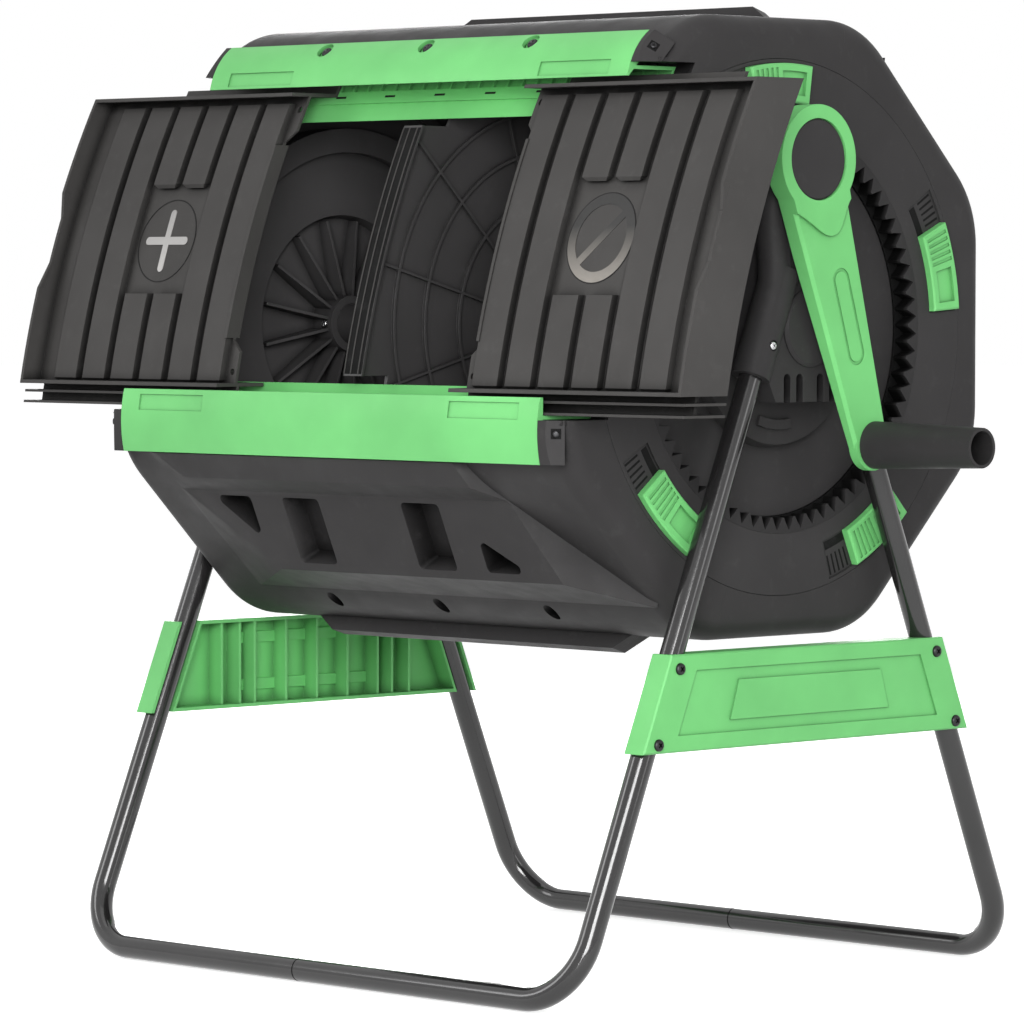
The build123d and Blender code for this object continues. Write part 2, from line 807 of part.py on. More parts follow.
# Divider between the two chambers, a rimmed plate that follows the drum and the door bay
inner_reach = apothem - wall - divider_gap
with BuildPart() as divider:
    add(octagon_block(inner_reach, corner_radius - wall, divider_half, 1))
    for face in (-1, 1):
        add(octagon_block(inner_reach - 3, corner_radius - wall - 3, divider_half, 1)
            .moved(Location((face * (divider_half + 2), 0, 0))), mode=Mode.SUBTRACT)
    for radius in (120, 165, 205):
        add(sector(-5, 5, radius - 1.5, radius + 1.5, 0, 180))
        add(sector(-5, 5, radius - 1.5, radius + 1.5, 180, 360))
    for k in range(12):
        angle = 30 * k + 15
        ray = Plane(origin=(0, 0, axis_height), x_dir=(1, 0, 0),
                    z_dir=(0, -sin(radians(angle)), cos(radians(angle))))
        with BuildSketch(ray):
            with Locations((0, -140)):
                Rectangle(10, 236)
        extrude(amount=1.25, both=True)
    add(cylinder_x(-18, 18, 0, axis_height, 30))
    add(band(-30, 30, -160, divider_level + divider_lip, bay_low - 20, bay_high + 20), mode=Mode.SUBTRACT)
    add(band(-divider_half, divider_half, divider_level, divider_level + divider_lip, divider_low,
             divider_high))
    add(band(-30, 30, -160, flange_level + 3 * wall, divider_high, bay_high + 20), mode=Mode.SUBTRACT)
    add(band(-30, 30, -160, flange_level + 3 * wall, bay_low - 20, divider_low), mode=Mode.SUBTRACT)
    add(octagon_block(inner_reach, corner_radius - wall, divider_half, 1), mode=Mode.INTERSECT)
    add(cylinder_x(-30, 30, 0, axis_height, axle_radius + slip_clearance), mode=Mode.SUBTRACT)
    boss_room = screw_boss(0, 1)
    add(boss_room, mode=Mode.SUBTRACT)
    add(turned(boss_room), mode=Mode.SUBTRACT)
save(divider.part, "divider")

# Axle tube through the drum, with a plug at each end and screws into the disc hubs
with BuildPart() as axle_tube:
    add(cylinder_x(-axle_end, axle_end, 0, axis_height, axle_radius))
    add(cylinder_x(-axle_end, axle_end, 0, axis_height, axle_radius - axle_wall), mode=Mode.SUBTRACT)
    for side in (-1, 1):
        for angle in axle_screw_angles:
            add(radial_bar(side * axle_screw_x, angle, axle_radius - 6, axle_radius + 5,
                           axle_screw_radius + slip_clearance), mode=Mode.SUBTRACT)
save(axle_tube.part, "axle_tube")
with BuildPart() as axle_screws:
    for side in (-1, 1):
        for angle in axle_screw_angles:
            add(radial_bar(side * axle_screw_x, angle, axle_radius - axle_wall, 31, axle_screw_radius))
            add(radial_bar(side * axle_screw_x, angle, 29.4, 32, 2 * axle_screw_radius))
save(axle_screws.part, "axle_screws")
for side, name in ((1, "right"), (-1, "left")):
    with BuildPart() as plug:
        add(cylinder_x(side * (axle_end - 20), side * axle_end, 0, axis_height,
                       axle_radius - axle_wall - slip_clearance))
        add(cylinder_x(side * axle_end, side * (axle_end + 3), 0, axis_height, axle_radius - axle_wall / 2))
    save(plug.part, f"axle_cap_{name}")


# J-shaped frame tubes: floor bar, bend and leg, joined by a spigot in the floor bars
def leg_tube(side, face):
    foot = (side * leg_plane, face * foot_reach, tube_radius)
    top = (side * leg_plane, face * leg_y(leg_top), leg_top)
    start = (seam_x, face * foot_reach, tube_radius)
    with BuildPart() as tube:
        with BuildLine() as path:
            FilletPolyline(start, foot, top, radius=bend_radius)
        with BuildSketch(Plane(origin=start, z_dir=(side, 0, 0))):
            Circle(tube_radius)
            Circle(tube_radius - tube_wall, mode=Mode.SUBTRACT)
        sweep(path=path.wires()[0])
        if side > 0:
            spigot = tube_radius - tube_wall - slip_clearance
            add(cylinder_x(seam_x - spigot_length, seam_x + 8, face * foot_reach, tube_radius, spigot))
            add(cylinder_x(seam_x, seam_x + 8, face * foot_reach, tube_radius, tube_radius - tube_wall / 2))
            add(cylinder_x(seam_x - spigot_length - 1, seam_x + 9, face * foot_reach, tube_radius,
                           spigot - tube_wall), mode=Mode.SUBTRACT)
        for z in panel_screw_z + [bracket_screw_z]:
            add(cylinder_x(side * leg_plane, side * (leg_plane + tube_radius + 2), face * leg_y(z), z,
                           screw_shank + slip_clearance), mode=Mode.SUBTRACT)
    return tube.part


panel_screw_z = [237, 304]
bracket_screw_z = 593
sunk_seat = leg_plane + socket_radius - 2
for face, row in ((-1, "front"), (1, "rear")):
    for side, name in ((1, "right"), (-1, "left")):
        save(leg_tube(side, face), f"leg_{row}_{name}")


# Hub brackets: two leg sockets, an axle hub and, on the crank side, an arm with the crank bearing
def bracket(with_crank):
    plate_in, plate_out = bracket_plate
    with BuildPart() as casting:
        for face in (-1, 1):
            foot = (leg_plane, face * leg_y(socket_low), socket_low)
            with BuildSketch(Plane(origin=foot, x_dir=(1, 0, 0), z_dir=(0, -face * sin(lean), cos(lean)))):
                Circle(socket_radius)
            extrude(amount=(leg_top + 12 - socket_low) / cos(lean))
        low = leg_y(plate_mid) - 4
        high = leg_y(plate_top) + 6
        with BuildSketch(Plane.YZ.offset(plate_in)):
            with BuildLine():
                Polyline((-plate_foot, plate_low), (plate_foot, plate_low), (low, plate_mid),
                         (high, plate_top), (-high, plate_top), (-low, plate_mid), close=True)
            make_face()
            with Locations(*[(y, plate_low) for y in slot_places]):
                SlotOverall(2 * slot_height, slot_width, rotation=90, mode=Mode.SUBTRACT)
        extrude(amount=plate_out - plate_in)
        add(bevelled_bar(bracket_inner, bracket_outer, 0, axis_height, hub_radius, hub_bevel))
        if with_crank:
            with BuildSketch(Plane.YZ.offset(plate_in)):
                with BuildLine():
                    Polyline((-high - 3, 640), (high + 3, 640), (pinion_y + 24, pinion_z),
                             (pinion_y - 24, pinion_z), close=True)
                make_face()
            extrude(amount=plate_out - plate_in)
            foot = (leg_plane, -leg_y(610), 610)
            with BuildLine() as limb:
                Spline(foot, (leg_plane, pinion_y - 14, 664), (leg_plane, pinion_y - 18, 716),
                       (leg_plane, pinion_y - 4, pinion_z), tangents=[(0, sin(lean), cos(lean)), (0, 0.3, 1)])
            with BuildSketch(Plane(origin=foot, z_dir=(0, sin(lean), cos(lean)))):
                Circle(limb_radius)
            sweep(path=limb.wires()[0])
            add(cylinder_x(bracket_inner, bracket_outer, pinion_y, pinion_z, 26))
            add(cylinder_x(bracket_inner - 1, crank_back, pinion_y, pinion_z,
                           shaft_radius + running_clearance), mode=Mode.SUBTRACT)
        for face in (-1, 1):
            foot = (leg_plane, face * leg_y(socket_low - 5), socket_low - 5)
            with BuildSketch(Plane(origin=foot, x_dir=(1, 0, 0), z_dir=(0, -face * sin(lean), cos(lean)))):
                Circle(tube_radius + slip_clearance)
            extrude(amount=(leg_top - socket_low + 5.2) / cos(lean), mode=Mode.SUBTRACT)
            add(cylinder_x(leg_plane, leg_plane + 30, face * leg_y(bracket_screw_z), bracket_screw_z,
                           screw_shank + slip_clearance), mode=Mode.SUBTRACT)
            add(cylinder_x(sunk_seat, leg_plane + 30, face * leg_y(bracket_screw_z), bracket_screw_z,
                           screw_head), mode=Mode.SUBTRACT)
        add(cylinder_x(bracket_inner - 1, axle_end + 4, 0, axis_height, axle_radius + running_clearance),
            mode=Mode.SUBTRACT)
    return casting.part


save(bracket(True), "bracket_right")
save(mirror(bracket(False), about=Plane.YZ), "bracket_left")


# Green side panels that wrap both legs of an end, ribbed inside
def side_panel():
    reach = panel_wrap / cos(lean)
    slot = (tube_radius + slip_clearance) / cos(lean)

    def trapezoid(edge, low, high):
        return [(-leg_y(low) - edge, low), (leg_y(low) + edge, low), (leg_y(high) + edge, high),
                (-leg_y(high) - edge, high)]

    with BuildPart() as panel:
        with BuildSketch(Plane.YZ.offset(panel_face - panel_depth)):
            with BuildLine():
                Polyline(*trapezoid(reach, panel_bottom, panel_top), close=True)
            make_face()
        extrude(amount=panel_depth)
        chamfer(faces().sort_by(Axis.X)[-1].edges(), 1.5)
        with BuildSketch(Plane.YZ.offset(panel_face - panel_depth - 1)):
            with BuildLine():
                Polyline(*trapezoid(-slot - 3, panel_bottom + panel_skin, panel_top - panel_skin), close=True)
            make_face()
        extrude(amount=panel_depth + 1 - panel_skin, mode=Mode.SUBTRACT)
        for face in (-1, 1):
            foot = (leg_plane, face * leg_y(panel_bottom - 10), panel_bottom - 10)
            run = (panel_top - panel_bottom + 20) / cos(lean)
            leg_way = Plane(origin=foot, x_dir=(1, 0, 0), z_dir=(0, -face * sin(lean), cos(lean)))
            with BuildSketch(leg_way):
                Circle(tube_radius + slip_clearance)
                with Locations((-20, 0)):
                    Rectangle(40, 2 * (tube_radius + slip_clearance))
            extrude(amount=run, mode=Mode.SUBTRACT)
        for y in (-128, -104, -84, -42, 0, 42, 84, 104, 128):
            with BuildSketch(Plane.YZ.offset(panel_face - panel_depth + 2)):
                with Locations((y, (panel_top + panel_bottom) / 2)):
                    Rectangle(3, panel_top - panel_bottom - 2 * panel_skin + 1)
            extrude(amount=panel_depth - 2 - panel_skin / 2)
        with BuildSketch(Plane.YZ.offset(panel_face - 1.8)):
            with BuildLine():
                Polyline(*trapezoid(-23, panel_bottom + 15, panel_top - 15), close=True)
            make_face()
            with BuildLine():
                Polyline((-108, panel_bottom + 26), (108, panel_bottom + 26), (97, panel_top - 26),
                         (-97, panel_top - 26), close=True)
            make_face(mode=Mode.SUBTRACT)
        extrude(amount=5, mode=Mode.SUBTRACT)
        for face in (-1, 1):
            for z in panel_screw_z:
                add(cylinder_x(leg_plane, panel_face + 2, face * leg_y(z), z, screw_shank + slip_clearance),
                    mode=Mode.SUBTRACT)
    return panel.part


panel = side_panel()
save(panel, "side_panel_right")
save(mirror(panel, about=Plane.YZ), "side_panel_left")

# Panel and bracket screws
for side, name in ((1, "right"), (-1, "left")):
    with BuildPart() as panel_screws:
        for face in (-1, 1):
            for z in panel_screw_z:
                y = face * leg_y(z)
                add(cylinder_x(side * (leg_plane + 2), side * (panel_face + 0.5), y, z, screw_shank))
                add(cylinder_x(side * panel_face, side * (panel_face + 3), y, z, screw_head))
    save(panel_screws.part, f"panel_screws_{name}")
    with BuildPart() as bracket_screws:
        for face in (-1, 1):
            y = face * leg_y(bracket_screw_z)
            add(cylinder_x(side * (leg_plane + 2), side * (sunk_seat + 0.5), y, bracket_screw_z, screw_shank))
            add(cylinder_x(side * sunk_seat, side * (sunk_seat + 2.5), y, bracket_screw_z, screw_head - 1))
    save(bracket_screws.part, f"bracket_screws_{name}")

# Crank: arm, cap, shaft, grip spindle and the turning grip
crank_middle = (crank_back, pinion_y, pinion_z)
arm_way = Vector(0, cos(radians(crank_swing)), sin(radians(crank_swing)))
crank_plane = Plane(origin=crank_middle, z_dir=(1, 0, 0), x_dir=arm_way)
arm_side = Plane(origin=crank_middle, z_dir=arm_way.cross(Vector(1, 0, 0)), x_dir=arm_way)
with BuildPart() as crank_arm:
    with BuildSketch(crank_plane):
        with BuildLine():
            Polyline((0, arm_root[0]), (crank_reach, arm_tip[0]), (crank_reach, arm_tip[1]),
                     (0, arm_root[1]), close=True)
        make_face()
        Circle(crank_ring)
        with Locations((crank_reach, (arm_tip[0] + arm_tip[1]) / 2)):
            Circle(arm_round)
    extrude(amount=crank_face - crank_back)
    with BuildSketch(crank_plane.offset(crank_face - crank_back - arm_step)):
        with BuildLine():
            Spline(*step_curve)
            Polyline(step_curve[-1], (crank_reach + 40, step_curve[-1][1]),
                     (crank_reach + 40, step_curve[0][1]), step_curve[0])
        make_face()
    extrude(amount=10, mode=Mode.SUBTRACT)
    face = faces().filter_by(Axis.X).sort_by(Axis.X)[-2]
    chamfer(face.edges().filter_by(GeomType.LINE).filter_by(lambda edge: edge.length > 75), arm_bevel)
    with BuildSketch(arm_side):
        with BuildLine():
            Polyline((crank_ring + 10, -1), (crank_reach + 40, -1), (crank_reach + 40, arm_thin), close=True)
        make_face()
    extrude(amount=2 * crank_ring, both=True, mode=Mode.SUBTRACT)
    with BuildSketch(crank_plane.offset(-1)):
        with BuildLine():
            Polyline((54, -34), (crank_reach - 24, -20), (crank_reach - 24, 15), (54, 26), close=True)
        make_face()
    extrude(amount=crank_face - crank_back - arm_step - 3, mode=Mode.SUBTRACT)
    with BuildSketch(crank_plane.offset(crank_face - crank_back - 8)):
        Circle(crank_cap_radius + disc_clearance)
    extrude(amount=20, mode=Mode.SUBTRACT)
    with BuildSketch(crank_plane.offset(crank_face - crank_back - arm_step - 1.2)):
        with Locations((150, 0)):
            SlotOverall(92, 22)
            SlotOverall(86, 16, mode=Mode.SUBTRACT)
    extrude(amount=5, mode=Mode.SUBTRACT)
    add(cylinder_x(crank_back - 1, crank_face, pinion_y, pinion_z, shaft_radius + slip_clearance),
        mode=Mode.SUBTRACT)
    add(cylinder_x(crank_back - 1, crank_face, grip_y, grip_z, spindle_radius + slip_clearance),
        mode=Mode.SUBTRACT)
save(crank_arm.part, "crank_arm")
cap_back = crank_face - 8
save(bevelled_bar(cap_back, crank_face - 1, pinion_y, pinion_z, crank_cap_radius, cap_bevel), "crank_cap")
save(cylinder_x(half_length - 1 - pinion_width, cap_back, pinion_y, pinion_z, shaft_radius), "crank_shaft")
save(cylinder_x(crank_back + arm_thin, crank_face + 60, grip_y, grip_z, spindle_radius), "grip_spindle")
with BuildPart() as crank_grip:
    for x, radius in ((crank_face - arm_step + grip_gap, grip_root_radius), (grip_end, grip_tip_radius)):
        with BuildSketch(Plane(origin=(x, grip_y, grip_z), x_dir=(0, 1, 0), z_dir=(1, 0, 0))):
            Circle(radius)
    loft()
    add(cylinder_x(crank_back, crank_face + 70, grip_y, grip_z, spindle_radius + running_clearance),
        mode=Mode.SUBTRACT)
    add(cylinder_x(crank_face + 64, grip_end + 1, grip_y, grip_z, grip_tip_radius - 3), mode=Mode.SUBTRACT)
save(crank_grip.part, "crank_grip")
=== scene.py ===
"""Looks of the tumbling compost bin: materials, signs, screws, small moulded detail, light and camera.

Metres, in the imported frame: the origin is on the floor under the drum, +X is the crank end, -Y the door side, +Z up.
"""

import json
from math import atan, cos, pi, radians, sin, sqrt

import bmesh
import bpy
from mathutils import Matrix, Vector


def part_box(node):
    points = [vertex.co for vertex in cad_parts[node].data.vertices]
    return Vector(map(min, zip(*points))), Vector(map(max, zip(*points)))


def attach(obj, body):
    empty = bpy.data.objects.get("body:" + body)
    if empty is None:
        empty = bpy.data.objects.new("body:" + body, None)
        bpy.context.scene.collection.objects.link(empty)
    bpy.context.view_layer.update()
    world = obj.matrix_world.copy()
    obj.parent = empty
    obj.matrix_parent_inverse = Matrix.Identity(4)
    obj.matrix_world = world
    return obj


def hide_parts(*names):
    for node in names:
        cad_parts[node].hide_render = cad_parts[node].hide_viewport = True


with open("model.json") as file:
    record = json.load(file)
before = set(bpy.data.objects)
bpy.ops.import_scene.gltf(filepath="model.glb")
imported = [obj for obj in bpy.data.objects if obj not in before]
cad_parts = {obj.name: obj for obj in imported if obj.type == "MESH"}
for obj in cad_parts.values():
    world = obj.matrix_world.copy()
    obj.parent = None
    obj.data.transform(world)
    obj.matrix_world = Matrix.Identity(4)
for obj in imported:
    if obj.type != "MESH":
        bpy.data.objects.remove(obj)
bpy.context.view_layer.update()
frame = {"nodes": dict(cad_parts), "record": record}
nodes = frame["nodes"]
scene = bpy.context.scene

# Drum: height of its axis, half its length and the distance of its flats from the axis
axle_low, axle_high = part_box("axle_tube")
axis_height = (axle_low.z + axle_high.z) / 2
drum_end = 0.308
flat_reach = 0.286

# Door arc, a circle through the top and bottom edge of the doors, given as y and height over the axis
door_top = Vector((-0.177, 0.222))
door_bottom = Vector((-0.275, -0.058))
door_radius = 0.98
door_floor = 0.009

# Camera, solved from the photograph; focus, centre and side are in its pixels
camera_place = Vector((3.72758, -3.74888, 0.64859))
camera_right = Vector((0.70303, 0.71116, 0.0016))
camera_back = Vector((0.71116, -0.70302, -0.0015))
photo_focus = 5492.57
photo_centre = (498.37, 276.05)
photo_side = 1024
sensor_width = 36
clip_end = 100

# Both ends of the part, as the sign of X and a name
ends = ((1, "right"), (-1, "left"))
diagonal = sqrt(0.5)

# Settings that the materials share; the mix numbers are the sockets of a colour mix: share, first, second and result
noise_middle = (0.3, 0.7)
mix_inputs = (0, 6, 7)
mix_result = 2
# Painted shade in grooves and corners: the range of its occlusion ramp and its samples
painted_shade_range = (0.35, 0.95)
painted_shade_samples = 6
facing_band = 0.04
edge_round = 0.0008
edge_samples = 4
dust_range = (0.56, 0.8)
dust_share = 0.05
dust_lift = 0.25
# Depths behind the open end where the painted shade on the ring gear's teeth is darkest and where it fades out
teeth_shade_depths = (0.006, 0.0005)


# Node helpers
def new_material(name):
    """A node material with its tree and its main shader."""
    material = bpy.data.materials.new(name)
    material.use_nodes = True
    tree = material.node_tree
    return material, tree, tree.nodes["Principled BSDF"]


def add_node(tree, kind, **settings):
    """A node with input values and properties set by name."""
    node = tree.nodes.new(kind)
    for key, value in settings.items():
        if key in node.inputs:
            node.inputs[key].default_value = value
        else:
            setattr(node, key, value)
    return node


def noise(tree, scale, detail=4.0, roughness=0.55):
    """A noise in object space, so that it stays on the piece when it moves."""
    place = add_node(tree, "ShaderNodeTexCoord")
    texture = add_node(tree, "ShaderNodeTexNoise", Scale=scale, Detail=detail, Roughness=roughness)
    tree.links.new(place.outputs["Object"], texture.inputs["Vector"])
    return texture.outputs["Fac"]


def ramp(tree, value, stops):
    """A colour ramp with (position, colour) stops."""
    node = add_node(tree, "ShaderNodeValToRGB")
    elements = node.color_ramp.elements
    while len(elements) < len(stops):
        elements.new(0.5)
    for element, (position, colour) in zip(elements, stops):
        element.position = position
        element.color = (*colour, 1)
    tree.links.new(value, node.inputs["Fac"])
    return node.outputs["Color"]


def rescale(tree, value, start, end, low=0, high=1):
    """A value mapped from one range to another, and held inside it."""
    node = add_node(tree, "ShaderNodeMapRange")
    for socket, number in (("From Min", start), ("From Max", end), ("To Min", low), ("To Max", high)):
        node.inputs[socket].default_value = number
    tree.links.new(value, node.inputs["Value"])
    return node.outputs["Result"]


def spread(tree, value, low, high):
    """A value mapped from the middle of a noise to a range."""
    return rescale(tree, value, *noise_middle, low, high)


def along(tree, axis, start, end):
    """0 to 1 between two places on an axis in object space."""
    place = add_node(tree, "ShaderNodeTexCoord")
    split = add_node(tree, "ShaderNodeSeparateXYZ")
    tree.links.new(place.outputs["Object"], split.inputs["Vector"])
    return rescale(tree, split.outputs[axis], start, end)


def blend(tree, share, first, second, kind="MIX"):
    """Two colours mixed by a share, which is a value or a texture."""
    node = add_node(tree, "ShaderNodeMix", data_type="RGBA", blend_type=kind)
    for value, index in zip((share, first, second), mix_inputs):
        if isinstance(value, bpy.types.NodeSocket):
            tree.links.new(value, node.inputs[index])
        else:
            node.inputs[index].default_value = value
    return node.outputs[mix_result]


def painted_shade(tree, reach, dark):
    """Painted shade: a grey that falls from white on open faces to dark in grooves and corners narrower than reach,
    where shade would fall.
    """
    node = add_node(tree, "ShaderNodeAmbientOcclusion", Distance=reach, samples=painted_shade_samples, only_local=True)
    low, high = painted_shade_range
    return ramp(tree, node.outputs["AO"], [(low, (dark, dark, dark)), (high, (1, 1, 1))])


def facing_in(tree):
    """1 on faces that look at the middle of the drum and 0 on faces that look away from it; it masks the painted light
    inside the drum.
    """
    place = add_node(tree, "ShaderNodeTexCoord")
    offset = add_node(tree, "ShaderNodeVectorMath", operation="SUBTRACT")
    offset.inputs[1].default_value = (0, 0, axis_height)
    tree.links.new(place.outputs["Object"], offset.inputs[0])
    facing = add_node(tree, "ShaderNodeVectorMath", operation="DOT_PRODUCT")
    tree.links.new(offset.outputs["Vector"], facing.inputs[0])
    tree.links.new(place.outputs["Normal"], facing.inputs[1])
    return rescale(tree, facing.outputs["Value"], facing_band, -facing_band)


def bump(tree, shader, layers, edge=None):
    """Stacked bumps of (height value, strength, distance), over edges that look rounded by edge."""
    normal = None
    if edge:
        rounded = add_node(tree, "ShaderNodeBevel", Radius=edge, samples=edge_samples)
        normal = rounded.outputs["Normal"]
    for height, strength, distance in layers:
        node = add_node(tree, "ShaderNodeBump", Strength=strength, Distance=distance)
        tree.links.new(height, node.inputs["Height"])
        if normal:
            tree.links.new(normal, node.inputs["Normal"])
        normal = node.outputs["Normal"]
    tree.links.new(normal, shader.inputs["Normal"])


def shade(colour, factor):
    """A colour made darker or lighter by a factor."""
    return tuple(channel * factor for channel in colour)


def mottled(tree, value, colour):
    """A colour that a noise makes a tenth darker or lighter."""
    low, high = noise_middle
    return ramp(tree, value, [(low, shade(colour, 0.9)), (high, shade(colour, 1.1))])


# Materials
def moulded_plastic(name, colour, roughness, grain, spec, reach=0.012, dark=0.3, inside=None):
    """Moulded plastic with spark-eroded grain, faint flow marks, scuffed gloss, painted shade in grooves and corners,
    painted light on faces that look into the drum when an inside colour is given, and a little dust.
    """
    material, tree, shader = new_material(name)
    flow = noise(tree, 9, 3)
    dust = noise(tree, 55, 8, 0.7)
    tone = mottled(tree, flow, colour)
    # Painted light: faces that look into the drum take the paler inside colour, which stands in for light that hardly
    # reaches there.
    if inside:
        tone = blend(tree, facing_in(tree), tone, mottled(tree, flow, inside))
    tone = blend(tree, 1.0, tone, painted_shade(tree, reach, dark), "MULTIPLY")
    clean, dusty = dust_range
    share = ramp(tree, dust, [(clean, (0, 0, 0)), (dusty, (dust_share, dust_share, dust_share))])
    tone = blend(tree, share, tone, (*[min(1, dust_lift + channel) for channel in colour], 1))
    tree.links.new(tone, shader.inputs["Base Color"])
    tree.links.new(spread(tree, noise(tree, 34, 6), roughness - 0.06, roughness + 0.06), shader.inputs["Roughness"])
    shader.inputs["Specular IOR Level"].default_value = spec
    bump(tree, shader, [(noise(tree, 900, 2), grain, 0.00025), (noise(tree, 16, 2), 0.12, 0.0016)], edge_round)
    return material


def coated_tube():
    """Gloss powder coat on steel tube: orange peel, a clear top and fine scuffs."""
    material, tree, shader = new_material("tube_coat")
    scuff = noise(tree, 120, 9, 0.75)
    tone = ramp(tree, noise(tree, 14, 3), [(0.3, (0.012, 0.0115, 0.0118)), (0.7, (0.019, 0.018, 0.0185))])
    tree.links.new(tone, shader.inputs["Base Color"])
    tree.links.new(spread(tree, scuff, 0.12, 0.22), shader.inputs["Roughness"])
    shader.inputs["Coat Weight"].default_value = 0.35
    shader.inputs["Coat Roughness"].default_value = 0.04
    bump(tree, shader, [(noise(tree, 420, 1), 0.05, 0.0003)])
    return material


def plated_steel(name, colour, roughness):
    """Screw steel with a fine grain and a spotted plating."""
    material, tree, shader = new_material(name)
    tone = ramp(tree, noise(tree, 260, 6), [(0.35, shade(colour, 0.75)), (0.65, colour)])
    tree.links.new(tone, shader.inputs["Base Color"])
    shader.inputs["Metallic"].default_value = 1
    tree.links.new(spread(tree, noise(tree, 700, 4), roughness - 0.08, roughness + 0.08), shader.inputs["Roughness"])
    bump(tree, shader, [(noise(tree, 1500, 2), 0.15, 0.0001)])
    return material


def teeth_with_painted_shade():
    """Black plastic teeth with painted shade that deepens away from the open face."""
    material, tree, shader = new_material("teeth_with_painted_shade")
    deep, shallow = teeth_shade_depths
    level = along(tree, "X", drum_end - deep, drum_end - shallow)
    tone = ramp(tree, level, [(0.0, (0.002, 0.002, 0.002)), (1.0, (0.026, 0.025, 0.0255))])
    tree.links.new(tone, shader.inputs["Base Color"])
    tree.links.new(spread(tree, noise(tree, 90, 5), 0.5, 0.66), shader.inputs["Roughness"])
    shader.inputs["Specular IOR Level"].default_value = 0.15
    bump(tree, shader, [(noise(tree, 900, 2), 0.2, 0.00025)], 0.0006)
    return material


def inlay(name, low, high, bottom, top):
    """Satin foil of a door sign, paler at its lower edge, between two heights over the axis."""
    material, tree, shader = new_material(name)
    level = along(tree, "Z", axis_height + bottom, axis_height + top)
    tone = ramp(tree, level, [(0.0, low), (1.0, high)])
    tree.links.new(tone, shader.inputs["Base Color"])
    shader.inputs["Metallic"].default_value = 0.35
    tree.links.new(spread(tree, noise(tree, 320, 6), 0.34, 0.48), shader.inputs["Roughness"])
    bump(tree, shader, [(noise(tree, 1100, 2), 0.1, 0.0001)])
    return material


black = moulded_plastic("black_plastic", (0.036, 0.0346, 0.0352), 0.5, 0.25, spec=0.11, reach=0.03)
# The shells and end discs take a paler inside colour: painted light for the dim inside of the drum.
shell_black = moulded_plastic("shell_plastic", (0.0355, 0.034, 0.0346), 0.5, 0.25, spec=0.11, reach=0.05, dark=0.12,
                              inside=(0.066, 0.0635, 0.0645))
disc_black = moulded_plastic("disc_plastic", (0.0375, 0.036, 0.0366), 0.5, 0.25, spec=0.11, reach=0.01, dark=0.35,
                             inside=(0.072, 0.0695, 0.0705))
door_black = moulded_plastic("door_plastic", (0.054, 0.052, 0.0505), 0.52, 0.35, spec=0.12, dark=0.12)
# A paler black with painted light for the dim inside of the drum, where the divider and axle tube sit; the pinion
# takes it too.
inner_black_with_painted_light = moulded_plastic("inner_plastic_with_painted_light", (0.05, 0.048, 0.0488), 0.4, 0.2, spec=0.3)
green = moulded_plastic("green_plastic", (0.16, 0.545, 0.172), 0.45, 0.18, spec=0.3, dark=0.45)
tube = coated_tube()
dark_steel = plated_steel("black_screw_steel", (0.05, 0.05, 0.052), 0.42)
bright_steel = plated_steel("bright_screw_steel", (0.7, 0.7, 0.71), 0.25)
# Near-black for painted shade in slots, channels, recesses and tooth gaps, and for dark joint and grip lines
painted_shade_and_dark_line_black = moulded_plastic("painted_shade_and_dark_line_plastic", (0.006, 0.006, 0.006), 0.7, 0.1, spec=0.1)
plus_foil = inlay("plus_foil", (0.4, 0.39, 0.38), (0.28, 0.275, 0.27), 0.05, 0.115)
# Near-black for the printed outlines of the signs, and for painted shade in the rail's slots
print_and_slot_shade_black = moulded_plastic("print_and_slot_shade_plastic", (0.014, 0.0135, 0.0135), 0.6, 0.2, spec=0.2)
ring_foil = inlay("ring_foil", (0.2, 0.185, 0.165), (0.022, 0.0215, 0.021), 0.045, 0.092)

finish_of = {"green": green, "black": black, "tube": tube, "steel": dark_steel}
special = {"front_shell": shell_black, "rear_shell": shell_black, "end_disc_left": disc_black,
           "end_disc_right": disc_black, "left_door": door_black, "right_door": door_black, "divider": inner_black_with_painted_light,
           "axle_screws": bright_steel, "bracket_screws_left": bright_steel, "bracket_screws_right": bright_steel,
           "crank_shaft": bright_steel, "axle_tube": inner_black_with_painted_light, "ring_gear": teeth_with_painted_shade(), "pinion": inner_black_with_painted_light}
slot_of = {entry["node"]: entry["material_slot"] for entry in frame["record"]["subparts"]}

# Shading breaks at edges sharper than these angles in degrees
cad_edge_angle = 28
piece_edge_angle = 32
weld_distance = 0.00001


def smooth(item, angle):
    """Smooth shading that breaks at an item's edges."""
    for polygon in item.data.polygons:
        polygon.use_smooth = True
    split = item.modifiers.new("edges", "EDGE_SPLIT")
    split.split_angle = radians(angle)


def dress(node, material):
    """Gives a CAD node its finish and its shading."""
    node.data.materials.clear()
    node.data.materials.append(material)
    for polygon in node.data.polygons:
        polygon.material_index = 0
    weld = node.modifiers.new("weld", "WELD")
    weld.merge_threshold = weld_distance
    smooth(node, cad_edge_angle)


for name, node in nodes.items():
    dress(node, special.get(name, finish_of[slot_of[name]]))


# Mesh helpers
def mesh_piece(name, build, body, material):
    """A new piece from a function that builds its mesh, riding on a body."""
    shape = bmesh.new()
    build(shape)
    bmesh.ops.recalc_face_normals(shape, faces=shape.faces)
    mesh = bpy.data.meshes.new(name)
    shape.to_mesh(mesh)
    shape.free()
    mesh.materials.append(material)
    piece = bpy.data.objects.new(name, mesh)
    scene.collection.objects.link(piece)
    smooth(piece, piece_edge_angle)
    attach(piece, body)
    return piece


def band(shape, first, second):
    """Faces all round between two loops with the same number of points."""
    for k in range(len(first)):
        shape.faces.new((first[k - 1], first[k], second[k], second[k - 1]))


def prism(shape, near, far):
    """A closed solid between two loops."""
    shape.faces.new(near)
    shape.faces.new(far)
    band(shape, near, far)


